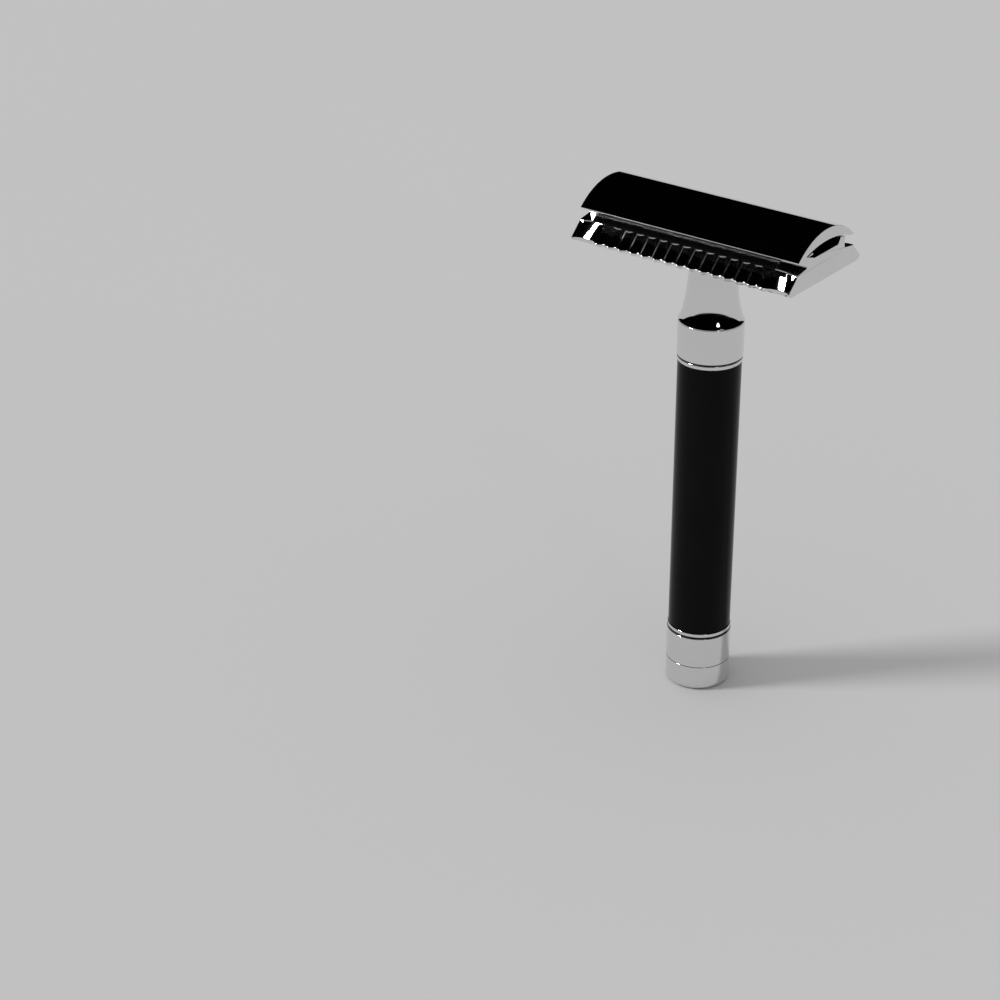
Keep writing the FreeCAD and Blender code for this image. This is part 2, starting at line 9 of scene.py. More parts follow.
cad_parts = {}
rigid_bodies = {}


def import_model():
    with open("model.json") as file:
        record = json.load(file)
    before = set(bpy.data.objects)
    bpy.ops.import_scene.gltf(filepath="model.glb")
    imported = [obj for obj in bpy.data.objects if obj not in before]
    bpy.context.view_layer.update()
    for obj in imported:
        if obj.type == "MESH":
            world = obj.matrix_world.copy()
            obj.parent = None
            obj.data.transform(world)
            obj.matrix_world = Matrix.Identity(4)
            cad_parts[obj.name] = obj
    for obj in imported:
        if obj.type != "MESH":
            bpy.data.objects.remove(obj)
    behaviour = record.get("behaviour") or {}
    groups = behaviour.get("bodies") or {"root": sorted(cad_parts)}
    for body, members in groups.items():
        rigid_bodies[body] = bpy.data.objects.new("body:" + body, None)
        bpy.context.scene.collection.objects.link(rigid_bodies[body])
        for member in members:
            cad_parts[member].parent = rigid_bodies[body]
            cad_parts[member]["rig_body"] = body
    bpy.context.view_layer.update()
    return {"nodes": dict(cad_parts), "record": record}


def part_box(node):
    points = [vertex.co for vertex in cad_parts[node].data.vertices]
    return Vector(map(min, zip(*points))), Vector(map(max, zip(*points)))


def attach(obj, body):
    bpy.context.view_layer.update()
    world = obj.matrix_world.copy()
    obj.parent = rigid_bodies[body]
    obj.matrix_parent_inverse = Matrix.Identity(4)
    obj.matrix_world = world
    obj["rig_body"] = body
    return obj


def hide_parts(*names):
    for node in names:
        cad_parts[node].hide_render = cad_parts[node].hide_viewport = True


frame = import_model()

# A double-edge safety razor, standing on its handle, on a pale studio floor.
# Everything is in metres in the CAD frame: Z up the handle, X along the blade.

MM = 0.001
TURNS = 160                      # facets round a turned piece


# ---- sizes that the CAD boxes don't give ------------------------------------

CAP_UNDER_RADIUS = 22.0 * MM     # curve of the cap's underside, which the blade follows
CAP_THICKNESS = 2.15 * MM        # at the middle of the cap
CAP_FALL = 3.55 * MM             # from the cap's top down to its long edges
CAP_EDGE_HEIGHT = 0.15 * MM
CAP_LIP_HALF = 8.0 * MM          # where the underside's curve gives way to a flat relief
BLADE_GAP = 0.05 * MM
BLADE_THICKNESS = 0.1 * MM
BLADE_WIDTH = 22.0 * MM
BLADE_BEVEL = 0.4 * MM
BLADE_EDGE_LENGTH = 37.3 * MM
BLADE_TAB_WIDTH = 14.5 * MM
BLADE_SLOT = (35.0 * MM, 1.6 * MM)
HOLE_CLEARANCE = 0.2 * MM
FIT_CLEARANCE = 0.05 * MM
PLATE_BOTTOM_HALF = 10.6 * MM
PLATE_TIP = (11.88 * MM, 0.64 * MM)        # half width, height over the plate's bottom
PLATE_TIP_ROUNDING = 0.3 * MM
PLATE_UNDERSIDE_ROUNDING = 1.6 * MM
BAR_FOOT = (11.85 * MM, 0.84 * MM)
BAR_CREST = (9.2 * MM, 3.44 * MM)
BAR_CREST_HEIGHT = 0.15 * MM
PLATFORM_HALF = 6.2 * MM
PLATFORM_ROOT = 3.92 * MM
LAND_HALF = 4.6 * MM
CHANNEL = (3.85 * MM, 5.16 * MM)
BOSS_RADIUS = 4.5 * MM
BOSS_HEIGHT = 0.9 * MM
SCALLOPS = 14
SCALLOP_PITCH = 2.4 * MM
SCALLOP_RADIUS = 1.3 * MM
SCALLOP_DEPTH = 0.35 * MM
SCOOP_FOOT = (1.05 * MM, 2.5 * MM, 2.6 * MM)      # depth, distance from the end, half length
SCOOP_CREST = (0.45 * MM, 4.6 * MM, 3.6 * MM)
NECK_TOP_RADIUS = 3.93 * MM
NECK_RIM = (5.95 * MM, 0.1 * MM)           # radius, height over the collar
NECK_LEAN = (                              # height over the collar, degrees
    (0.1 * MM, 34.0),
    (0.8 * MM, 20.0),
    (2.05 * MM, 13.7),
    (2.95 * MM, 11.4),
    (5.0 * MM, 6.2),
)
SPIGOT_RADIUS = 4.2 * MM
THREAD_PITCH = 0.8 * MM
THREAD_CORE = 2.02 * MM
THREAD_TOP = 7.7 * MM                      # length of the threaded end of the stud


# ---- meshes -----------------------------------------------------------------

def mesh_object(name, vertices, faces):
    mesh = bpy.data.meshes.new(name)
    mesh.from_pydata([tuple(v) for v in vertices], [], faces)
    mesh.validate()
    thing = bpy.data.objects.new(name, mesh)
    bpy.context.scene.collection.objects.link(thing)
    return thing


def smooth(thing, angle=38):
    """Smooth shading, with edges sharper than the angle kept crisp."""
    work = bmesh.new()
    work.from_mesh(thing.data)
    bmesh.ops.recalc_face_normals(work, faces=work.faces)
    for face in work.faces:
        face.smooth = True
    limit = math.radians(angle)
    for edge in work.edges:
        edge.smooth = not (edge.is_manifold and edge.calc_face_angle() > limit)
    work.to_mesh(thing.data)
    work.free()
    weighted = thing.modifiers.new("face_weighted_normals", "WEIGHTED_NORMAL")
    weighted.keep_sharp = True


def arc(centre, radius, start, end, steps):
    """Points along an arc, angles in degrees."""
    points = []
    for number in range(steps + 1):
        angle = math.radians(start + (end - start) * number / steps)
        points.append((centre[0] + radius * math.cos(angle), centre[1] + radius * math.sin(angle)))
    return points


def arc_through(start, end, radius, turn, steps):
    """Points along the short arc from start to end; turn is 1 left, -1 right."""
    start, end = Vector(start), Vector(end)
    chord = end - start
    reach = math.sqrt(radius ** 2 - (chord.length / 2) ** 2)
    side = Vector((-chord.y, chord.x)) * (turn / chord.length)
    centre = (start + end) / 2 + side * reach
    first = math.atan2(start.y - centre.y, start.x - centre.x)
    last = math.atan2(end.y - centre.y, end.x - centre.x)
    if turn > 0 and last < first:
        last += 2 * math.pi
    if turn < 0 and last > first:
        last -= 2 * math.pi
    return arc(centre, radius, math.degrees(first), math.degrees(last), steps)


def round_corner(before, corner, after, radius, steps=5):
    """The corner's points, rounded by an arc that is tangent to both sides."""
    before, corner, after = Vector(before), Vector(corner), Vector(after)
    back = (before - corner).normalized()
    onward = (after - corner).normalized()
    opening = back.angle(onward)
    reach = min(radius / math.tan(opening / 2),
                (before - corner).length * 0.48, (after - corner).length * 0.48)
    radius = reach * math.tan(opening / 2)
    centre = corner + (back + onward).normalized() * (radius / math.sin(opening / 2))
    first = corner + back * reach - centre
    last = corner + onward * reach - centre
    swing = first.angle_signed(last)
    points = []
    for number in range(steps + 1):
        turned = Matrix.Rotation(-swing * number / steps, 2) @ first
        points.append(tuple(centre + turned))
    return points


def outline(steps_in):
    """A line of points; an entry (point, radius) is a corner to round."""
    plain = [entry[0] if isinstance(entry[0], tuple) else entry for entry in steps_in]
    points = []
    for number, entry in enumerate(steps_in):
        if isinstance(entry[0], tuple):
            after = plain[(number + 1) % len(plain)]
            points += round_corner(plain[number - 1], entry[0], after, entry[1])
        else:
            points.append(entry)
    return points


def lathe(name, profile, turns=TURNS):
    """Turns a profile of (radius, height) points round Z.

    A profile that starts and ends on the axis makes a solid; any other is a ring,
    whose last point joins its first.
    """
    solid = profile[0][0] < 1e-9 and profile[-1][0] < 1e-9
    ring_points = profile[1:-1] if solid else profile
    vertices = []
    for radius, height in ring_points:
        for number in range(turns):
            angle = 2 * math.pi * number / turns
            vertices.append((radius * math.cos(angle), radius * math.sin(angle), height))
    faces = []
    rows = len(ring_points)
    for row in range(rows - 1 if solid else rows):
        upper = (row + 1) % rows
        for number in range(turns):
            following = (number + 1) % turns
            faces.append((row * turns + number, row * turns + following,
                          upper * turns + following, upper * turns + number))
    if solid:
        for row, (radius, height) in ((0, profile[0]), (rows - 1, profile[-1])):
            middle = len(vertices)
            vertices.append((0, 0, height))
            for number in range(turns):
                faces.append((row * turns + number, row * turns + (number + 1) % turns, middle))
    thing = mesh_object(name, vertices, faces)
    smooth(thing)
    return thing


def flared_side(foot, lean, top_height, steps):
    """A side line of (radius, height) points that leans in by given degrees at given heights."""
    radius, start = foot
    heights = np.linspace(start, top_height, steps)
    slope = np.tan(np.radians(np.interp(heights, *zip(*lean))))
    drops = (slope[1:] + slope[:-1]) / 2 * np.diff(heights)
    radii = radius - np.concatenate([[0.0], np.cumsum(drops)])
    return list(zip(radii.tolist(), heights.tolist()))


def inset(points, amount):
    """The closed line of (across, up) points, moved inwards by an amount."""
    line = np.array(points)
    ahead = np.roll(line, -1, axis=0) - line
    ahead /= np.maximum(np.linalg.norm(ahead, axis=1), 1e-12)[:, None]
    behind = np.roll(ahead, 1, axis=0)
    tangent = ahead + behind
    tangent /= np.maximum(np.linalg.norm(tangent, axis=1), 1e-12)[:, None]
    inward = np.stack([-tangent[:, 1], tangent[:, 0]], axis=1)
    return line + inward * amount


def loft(name, stations, paired_ends=False):
    """Skins closed lines of (across, up) points set at stations along X.

    With paired ends, each line goes out along one side of a strip and back along the
    other, and the ends are closed by a quad between every two facing points.
    """
    vertices = []
    count = len(stations[0][1])
    for x, line in stations:
        vertices += [(x, y, z) for y, z in line]
    faces = []
    for row in range(len(stations) - 1):
        for number in range(count):
            following = (number + 1) % count
            faces.append((row * count + number, row * count + following,
                          (row + 1) * count + following, (row + 1) * count + number))
    for first in (0, (len(stations) - 1) * count):
        if not paired_ends:
            faces.append(tuple(range(first, first + count)))
            continue
        for number in range(count // 2 - 1):
            facing = count - 1 - number
            faces.append((first + number, first + number + 1,
                          first + facing - 1, first + facing))
    return mesh_object(name, vertices, faces)


def rounded_ends(length, edge, inner_positions):
    """Stations along X for a bar whose end edges are rounded: (x, inset) pairs."""
    half = length / 2
    ends = []
    for number in range(4):
        angle = math.radians(30 * number)
        ends.append((half - edge * (1 - math.sin(angle)), edge * (1 - math.cos(angle))))
    ends.reverse()
    left = [(-x, amount) for x, amount in ends]
    middle = [(x, 0.0) for x in inner_positions]
    return left + middle + list(reversed(ends))


def carve(thing, cutters):
    """Takes the cutters away from a piece, for good."""
    for cutter in cutters:
        cut = thing.modifiers.new("cut", "BOOLEAN")
        cut.object = cutter
        cut.operation = "DIFFERENCE"
        cut.solver = "EXACT"
    bpy.context.view_layer.update()
    graph = bpy.context.evaluated_depsgraph_get()
    made = bpy.data.meshes.new_from_object(thing.evaluated_get(graph))
    thing.modifiers.clear()
    thing.data = made
    for cutter in cutters:
        bpy.data.objects.remove(cutter)


def rod_cutter(x, radius, low, high):
    cutter = lathe("cutter", [(0, low), (radius, low), (radius, high), (0, high)], 64)
    cutter.data.transform(Matrix.Translation((x, 0, 0)))
    cutter.modifiers.clear()
    return cutter


def bore_cutters(clearance, low_z, high_z):
    """Rods that bore room for the stud and the two posts, with a clearance all round."""
    cutters = []
    for node in ("cap_stud", "locating_post_left", "locating_post_right"):
        low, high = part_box(node)
        radius = (high.y - low.y) / 2 + clearance
        cutters.append(rod_cutter((low.x + high.x) / 2, radius, low_z, high_z))
    return cutters


def box_cutter(low, high):
    corners = [(x, y, z) for z in (low[2], high[2]) for y in (low[1], high[1])
               for x in (low[0], high[0])]
    faces = [(0, 2, 3, 1), (4, 5, 7, 6), (0, 1, 5, 4), (2, 6, 7, 3), (0, 4, 6, 2), (1, 3, 7, 5)]
    return mesh_object("cutter", corners, faces)


# ---- procedural materials ---------------------------------------------------

class Nodes:
    """Short calls for building one material's nodes."""

    def __init__(self, name):
        self.material = bpy.data.materials.new(name)
        self.material.use_nodes = True
        self.tree = self.material.node_tree
        self.shader = self.tree.nodes["Principled BSDF"]
        self.place = self.tree.nodes.new("ShaderNodeTexCoord").outputs["Object"]

    def set(self, **values):
        for name, value in values.items():
            self.shader.inputs[name.replace("_", " ")].default_value = value

    def join(self, output, socket):
        self.tree.links.new(output, self.shader.inputs[socket])

    def stretched(self, scale):
        """The object's own coordinates in millimetres, stretched."""
        mapping = self.tree.nodes.new("ShaderNodeMapping")
        mapping.inputs["Scale"].default_value = [s / MM for s in scale]
        self.tree.links.new(self.place, mapping.inputs["Vector"])
        return mapping.outputs["Vector"]

    def noise(self, scale, detail=2.0, roughness=0.5):
        """Noise whose scale is a number of cells per millimetre along each axis."""
        node = self.tree.nodes.new("ShaderNodeTexNoise")
        node.inputs["Scale"].default_value = 1.0
        node.inputs["Detail"].default_value = detail
        node.inputs["Roughness"].default_value = roughness
        self.tree.links.new(self.stretched(scale), node.inputs["Vector"])
        return node.outputs["Fac"]

    def ramp(self, value, low, high, start=0.0, end=1.0):
        """Maps a value from start..end to low..high."""
        node = self.tree.nodes.new("ShaderNodeMapRange")
        node.inputs["From Min"].default_value = start
        node.inputs["From Max"].default_value = end
        node.inputs["To Min"].default_value = low
        node.inputs["To Max"].default_value = high
        self.tree.links.new(value, node.inputs["Value"])
        return node.outputs["Result"]

    def mix(self, factor, first, second):
        """A colour between two colours."""
        node = self.tree.nodes.new("ShaderNodeMix")
        node.data_type = "RGBA"
        self.tree.links.new(factor, node.inputs["Factor"])
        node.inputs["A"].default_value = (*first, 1)
        node.inputs["B"].default_value = (*second, 1)
        return node.outputs["Result"]

    def blend(self, factor, first, second):
        """A colour between two colours that other nodes give."""
        node = self.tree.nodes.new("ShaderNodeMix")
        node.data_type = "RGBA"
        self.tree.links.new(factor, node.inputs["Factor"])
        self.tree.links.new(first, node.inputs["A"])
        self.tree.links.new(second, node.inputs["B"])
        return node.outputs["Result"]

    def calculate(self, operation, first, second=None):
        node = self.tree.nodes.new("ShaderNodeMath")
        node.operation = operation
        for number, value in enumerate((first, second)):
            if value is None:
                continue
            if isinstance(value, (int, float)):
                node.inputs[number].default_value = value
            else:
                self.tree.links.new(value, node.inputs[number])
        return node.outputs["Value"]

    def bump(self, heights, depth_mm, strength=1.0):
        node = self.tree.nodes.new("ShaderNodeBump")
        node.inputs["Strength"].default_value = strength
        node.inputs["Distance"].default_value = depth_mm * MM
        self.tree.links.new(heights, node.inputs["Height"])
        self.join(node.outputs["Normal"], "Normal")


def chrome(name):
    """Polished chrome plate: a near mirror with faint polishing haze and finger smudges."""
    made = Nodes(name)
    made.set(Metallic=1.0)
    smudge = made.noise((0.16, 0.16, 0.16), detail=3)
    fine = made.noise((2.2, 2.2, 2.2), detail=4, roughness=0.6)
    made.join(made.mix(smudge, (0.755, 0.755, 0.76), (0.80, 0.80, 0.805)), "Base Color")
    haze = made.calculate("MULTIPLY", smudge, fine)
    made.join(made.ramp(haze, 0.03, 0.06, 0.12, 0.5), "Roughness")
    made.bump(made.noise((0.9, 0.9, 0.9), detail=2), 0.0004)
    return made.material


def black_resin(name):
    """Cast black resin, polished, with faint polishing lines round the handle."""
    made = Nodes(name)
    made.set(IOR=1.5, Specular_IOR_Level=0.07)
    cloud = made.noise((0.12, 0.12, 0.12), detail=3)
    rings = made.noise((0.15, 0.15, 9.0), detail=3)
    made.join(made.mix(cloud, (0.0015, 0.0015, 0.0018), (0.004, 0.004, 0.0045)), "Base Color")
    made.join(made.ramp(cloud, 0.04, 0.08, 0.3, 0.7), "Roughness")
    made.bump(rings, 0.0004)
    return made.material


def black_rubber(name):
    made = Nodes(name)
    grain = made.noise((7.0, 7.0, 7.0), detail=4)
    made.join(made.mix(grain, (0.004, 0.004, 0.004), (0.012, 0.012, 0.012)), "Base Color")
    made.join(made.ramp(grain, 0.55, 0.8), "Roughness")
    made.bump(grain, 0.01)
    return made.material


def blade_steel(name):
    """Stainless strip, bright in the middle; its two ground and honed edges are painted dark, as
    painted shade.
    """
    made = Nodes(name)
    made.set(Metallic=1.0)
    split = made.tree.nodes.new("ShaderNodeSeparateXYZ")
    made.tree.links.new(made.place, split.inputs["Vector"])
    across = made.calculate("ABSOLUTE", split.outputs["Y"])
    honed = made.ramp(across, 0.0, 1.0, 8.85 * MM, 8.95 * MM)
    rolled = made.noise((0.05, 14.0, 1.0), detail=4)
    ground = made.noise((30.0, 0.4, 0.4), detail=3)
    lines = made.calculate("MULTIPLY", rolled, made.calculate("SUBTRACT", 1.0, honed))
    lines = made.calculate("ADD", lines, made.calculate("MULTIPLY", ground, honed))
    steel = made.mix(lines, (0.46, 0.47, 0.48), (0.62, 0.63, 0.64))
    # Painted shade: the ground and honed edges get a dark colour that dims their highlight.
    edge = made.mix(lines, (0.08, 0.08, 0.085), (0.15, 0.15, 0.155))
    made.join(made.blend(honed, steel, edge), "Base Color")
    made.join(made.ramp(lines, 0.20, 0.27), "Roughness")
    made.bump(lines, 0.002)
    return made.material


def turned_metal(name, dark, light):
    """Lathe-turned metal: fine rings along its length."""
    made = Nodes(name)
    made.set(Metallic=1.0)
    rings = made.noise((0.2, 0.2, 12.0), detail=3)
    stain = made.noise((0.3, 0.3, 0.3), detail=3)
    made.join(made.mix(stain, dark, light), "Base Color")
    made.join(made.ramp(rings, 0.18, 0.36), "Roughness")
    made.bump(rings, 0.004)
    return made.material


def floor_material(name):
    """Pale matt board with a very fine tooth."""
    made = Nodes(name)
    tooth = made.noise((1.2, 1.2, 1.2), detail=3)
    cloud = made.noise((0.004, 0.004, 0.004), detail=2)
    made.join(made.mix(cloud, (0.595, 0.595, 0.595), (0.605, 0.605, 0.605)), "Base Color")
    made.join(made.ramp(tooth, 0.85, 0.95), "Roughness")
    made.set(Specular_IOR_Level=0.0)
    made.bump(tooth, 0.004)
    return made.material


def make_materials():
    """One material for each slot of the record."""
    made = {
        "chrome_head": chrome("chrome_head_finish"),
        "chrome_fittings": chrome("chrome_fittings_finish"),
        "blade_steel": blade_steel("blade_steel_finish"),
        "rod_steel": turned_metal("rod_steel_finish", (0.42, 0.42, 0.44), (0.55, 0.55, 0.57)),
        "brass": turned_metal("brass_finish", (0.62, 0.44, 0.18), (0.80, 0.62, 0.30)),
        "black_resin": black_resin("black_resin_finish"),
        "black_rubber": black_rubber("black_rubber_finish"),
    }
    return made


def paint_cad_nodes(materials):
    """Gives every CAD node the procedural material of its slot."""
    for part in frame["record"]["subparts"]:
        node = frame["nodes"][part["node"]]
        for number in range(max(1, len(node.data.materials))):
            if len(node.data.materials) == 0:
                node.data.materials.append(materials[part["material_slot"]])
            else:
                node.data.materials[number] = materials[part["material_slot"]]


def hand_over(thing, node, slot, materials):
    """The piece takes over from the CAD node: its body, its place and its finish."""
    body = frame["nodes"][node]["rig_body"]
    thing.name = node + "_detailed"
    thing.data.materials.clear()
    thing.data.materials.append(materials[slot])
    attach(thing, body)
    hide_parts(node)


# ---- the head ---------------------------------------------------------------

def under_curve_centre():
    """Centre height of the curve of the cap's underside."""
    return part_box("top_cap")[1].z - CAP_THICKNESS - CAP_UNDER_RADIUS


def build_top_cap(materials):
    low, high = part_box("top_cap")
    half = high.y
    centre = under_curve_centre()
    edge_high = high.z - CAP_FALL
    edge_low = edge_high - CAP_EDGE_HEIGHT
    lip_z = centre + math.sqrt(CAP_UNDER_RADIUS ** 2 - CAP_LIP_HALF ** 2)
    top_radius = (half ** 2 + CAP_FALL ** 2) / (2 * CAP_FALL)
    edge = 0.06 * MM
    top = arc_through((half, edge_high), (-half, edge_high), top_radius, 1, 81)
    under = arc_through((-CAP_LIP_HALF, lip_z), (CAP_LIP_HALF, lip_z),
                        CAP_UNDER_RADIUS, -1, 69)
    line = top[:]
    line += round_corner((-half, edge_high), (-half, edge_low), under[0], edge)
    line += under
    line += round_corner(under[-1], (half, edge_low), (half, edge_high), edge)
    stations = []
    for x, amount in rounded_ends(high.x - low.x, 0.05 * MM, [0.0]):
        stations.append((x, inset(line, amount)))
    cap = loft("cap", stations, paired_ends=True)
    carve(cap, bore_cutters(FIT_CLEARANCE, centre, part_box("cap_stud")[1].z))
    smooth(cap)
    hand_over(cap, "top_cap", "chrome_head", materials)


def scallop_cut(x):
    """How far the scallops move the safety bar's sloping face inwards at x."""
    first = -SCALLOP_PITCH * (SCALLOPS - 1) / 2
    nearest = min(max(round((x - first) / SCALLOP_PITCH), 0), SCALLOPS - 1)
    away = abs(x - (first + SCALLOP_PITCH * nearest))
    if away >= SCALLOP_RADIUS:
        return 0.0
    sag = SCALLOP_RADIUS - math.sqrt(SCALLOP_RADIUS ** 2 - away ** 2)
    return max(0.0, SCALLOP_DEPTH - sag) * math.sqrt(2)


def scoop_cut(scoop, from_end):
    """How far an end scoop moves its line inwards at a distance from the bar's end."""
    depth, middle, half_length = scoop
    return depth * max(0.0, 1 - abs((from_end - middle) / half_length) ** 3)


def bar_cuts(x, half_length):
    """How far the foot and the crest of the bar are moved inwards at x."""
    soften = 0.15 * MM
    scallop = (scallop_cut(x - soften) + 2 * scallop_cut(x) + scallop_cut(x + soften)) / 4
    from_end = half_length - abs(x)
    foot = max(scallop, scoop_cut(SCOOP_FOOT, from_end))
    crest = max(scallop, scoop_cut(SCOOP_CREST, from_end))
    return foot, crest


def plate_half_outline(bottom_z, foot_cut, crest_cut):
    """The right half of the plate's section, from the bottom's middle to the top's."""
    centre = under_curve_centre()
    land_radius = CAP_UNDER_RADIUS - 2 * BLADE_GAP - BLADE_THICKNESS
    tip = (PLATE_TIP[0] - foot_cut, bottom_z + PLATE_TIP[1])
    foot = (BAR_FOOT[0] - foot_cut, bottom_z + BAR_FOOT[1])
    root = (PLATFORM_HALF, bottom_z + PLATFORM_ROOT)
    wall_z = centre + math.sqrt(land_radius ** 2 - PLATFORM_HALF ** 2)
    land_z = centre + math.sqrt(land_radius ** 2 - LAND_HALF ** 2)
    wall = (PLATFORM_HALF, wall_z)
    land = (LAND_HALF, land_z)
    floor = (CHANNEL[0], bottom_z + CHANNEL[1])
    whole_crest = Vector((BAR_CREST[0], bottom_z + BAR_CREST[1]))
    crest = whole_crest.lerp(Vector(root), crest_cut / (BAR_CREST[0] - PLATFORM_HALF))
    crest_low = crest - Vector((0, BAR_CREST_HEIGHT))
    line = [(PLATE_BOTTOM_HALF * n / 8, bottom_z) for n in range(1, 8)]
    line += arc_through((PLATE_BOTTOM_HALF, bottom_z), tip, PLATE_UNDERSIDE_ROUNDING, 1, 10)
    line += round_corner(tip, foot, crest_low, PLATE_TIP_ROUNDING, 7)
    for share in (0.06, 0.15, 0.3, 0.5, 0.7, 0.85, 0.94):
        line.append(tuple(Vector(foot).lerp(crest_low, share)))
    line += round_corner(foot, crest_low, crest, 0.08 * MM, 4)
    line += round_corner(crest_low, crest, root, 0.06 * MM, 4)
    for share in (0.06, 0.12, 0.2, 0.3, 0.45, 0.6, 0.8):
        line.append(tuple(crest.lerp(Vector(root), share)))
    line += round_corner(crest, root, wall, 0.25 * MM)
    line += round_corner(root, wall, land, 0.12 * MM)
    line += arc_through(wall, land, land_radius, 1, 6)[1:-1]
    line += round_corner(wall, land, floor, 0.12 * MM)
    line += round_corner(land, floor, (0, floor[1]), 0.2 * MM)
    line += [(floor[0] * n / 4, floor[1]) for n in (3, 2, 1)]
    return line


def build_base_plate(materials):
    low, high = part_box("base_plate")
    bottom_z = low.z + BOSS_HEIGHT
    half = (high.x - low.x) / 2
    step = 0.15 * MM
    margin = 0.2 * MM
    count = int(half * 2 / step)
    inner = [(half - margin) * (2 * n / count - 1) for n in range(count + 1)]
    stations = []
    for x, amount in rounded_ends(high.x - low.x, 0.12 * MM, inner):
        right = plate_half_outline(bottom_z, *bar_cuts(x, half))
        left = [(-y, z) for y, z in reversed(right)]
        stations.append((x, inset(right + left, amount)))
    plate = loft("plate", stations)
    boss = lathe("boss", outline([
        (0, low.z), ((BOSS_RADIUS, low.z), 0.2 * MM), (BOSS_RADIUS, bottom_z + 0.5 * MM),
        (0, bottom_z + 0.5 * MM)]))
    boss.modifiers.clear()
    join = plate.modifiers.new("boss", "BOOLEAN")
    join.object = boss
    join.operation = "UNION"
    join.solver = "EXACT"
    carve(plate, bore_cutters(HOLE_CLEARANCE, low.z - MM, high.z + MM))
    bpy.data.objects.remove(boss)
    smooth(plate)
    hand_over(plate, "base_plate", "chrome_head", materials)


def build_razor_blade(materials):
    """A flat strip is cut out, its edges are honed, and it is then bent under the cap."""
    low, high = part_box("razor_blade")
    middle_radius = CAP_UNDER_RADIUS - BLADE_GAP - BLADE_THICKNESS / 2
    half_width = BLADE_WIDTH / 2
    honed = half_width - BLADE_BEVEL
    thick = BLADE_THICKNESS / 2
    ys = [honed * n / 36 for n in range(-36, 37)]
    line = [(half_width, 0)] + [(y, thick) for y in reversed(ys)]
    line += [(-half_width, 0)] + [(y, -thick) for y in ys]
    strip = loft("strip", [(low.x, line), (high.x, line)])
    reach = 1 * MM
    slot_x, slot_y = BLADE_SLOT[0] / 2, BLADE_SLOT[1] / 2
    cutters = [box_cutter((-slot_x, -slot_y, -reach), (slot_x, slot_y, reach))]
    cutters += bore_cutters(HOLE_CLEARANCE, -reach, reach)
    edge_x, tab_y = BLADE_EDGE_LENGTH / 2, BLADE_TAB_WIDTH / 2
    for x_side in (-1, 1):
        for y_side in (-1, 1):
            xs = sorted((edge_x * x_side, BLADE_WIDTH * 2 * x_side))
            ys_cut = sorted((tab_y * y_side, BLADE_WIDTH * y_side))
            cutters.append(box_cutter((xs[0], ys_cut[0], -reach), (xs[1], ys_cut[1], reach)))
    carve(strip, cutters)
    centre = under_curve_centre()
    for vertex in strip.data.vertices:
        x, y, z = vertex.co
        angle = y / middle_radius
        radius = middle_radius + z
        vertex.co = (x, radius * math.sin(angle), centre + radius * math.cos(angle))
    smooth(strip, 20)
    hand_over(strip, "razor_blade", "blade_steel", materials)


def build_stud(materials):
    """The cap's stud, its lower end cut with a right-hand thread."""
    low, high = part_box("cap_stud")
    crest = (high.y - low.y) / 2
    columns = 96
    step = THREAD_PITCH / 16
    rows = [low.z + step * n for n in range(int(THREAD_TOP / step) + 1)]
    vertices = [(0, 0, low.z)]
    for z in rows:
        for number in range(columns):
            angle = 2 * math.pi * number / columns
            turn = (z - low.z) / THREAD_PITCH - angle / (2 * math.pi)
            ridge = max(0.0, 1 - abs((turn % 1.0) - 0.5) / 0.43 * 1.15)
            ridge = min(1.0, ridge * 1.15)
            fade = min(1.0, (z - low.z) / THREAD_PITCH, (rows[-1] - z) / THREAD_PITCH)
            radius = THREAD_CORE + (crest - THREAD_CORE) * ridge * max(0.0, fade)
            radius = min(radius, THREAD_CORE - 0.45 * MM + (z - low.z))
            vertices.append((radius * math.cos(angle), radius * math.sin(angle), z))
    for radius, z in ((crest, rows[-1] + 0.4 * MM), (crest, high.z)):
        for number in range(columns):
            angle = 2 * math.pi * number / columns
            vertices.append((radius * math.cos(angle), radius * math.sin(angle), z))
    vertices.append((0, 0, high.z))
    faces = []
    count = len(rows) + 2
    for row in range(count - 1):
        for number in range(columns):
            following = (number + 1) % columns
            base, upper = 1 + row * columns, 1 + (row + 1) * columns
            faces.append((base + number, base + following, upper + following, upper + number))
    for number in range(columns):
        following = (number + 1) % columns
        top = 1 + (count - 1) * columns
        faces.append((0, 1 + following, 1 + number))
        faces.append((top + number, top + following, len(vertices) - 1))
    stud = mesh_object("stud", vertices, faces)
    smooth(stud, 50)
    hand_over(stud, "cap_stud", "chrome_head", materials)


def build_posts(materials):
    for node in ("locating_post_left", "locating_post_right"):
        low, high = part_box(node)
        radius = (high.y - low.y) / 2
        post = lathe("post", outline([
            (0, low.z), ((radius, low.z), 0.45 * MM), (radius, high.z), (0, high.z)]), 96)
        post.data.transform(Matrix.Translation(((low.x + high.x) / 2, 0, 0)))
        hand_over(post, node, "chrome_head", materials)


# ---- the handle -------------------------------------------------------------

def build_neck(materials):
    low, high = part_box("neck")
    collar_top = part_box("collar")[1].z
    bush_low, bush_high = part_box("neck_bush")
    bore = bush_high.x + FIT_CLEARANCE
    rod_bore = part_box("core_rod")[1].x + FIT_CLEARANCE
    rod_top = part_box("core_rod")[1].z
    side = flared_side(NECK_RIM, NECK_LEAN, high.z - collar_top, 160)
    profile = outline(
        [(0, rod_top), (rod_bore, rod_top), (rod_bore, low.z), (SPIGOT_RADIUS, low.z),
         (SPIGOT_RADIUS, collar_top), (NECK_RIM[0], collar_top)]
        + [(radius, collar_top + height) for radius, height in side[:-1]]
        + [((NECK_TOP_RADIUS, high.z), 0.15 * MM), (bore, high.z), (bore, bush_low.z),
           (0, bush_low.z)])
    hand_over(lathe("neck_turned", profile), "neck", "chrome_fittings", materials)


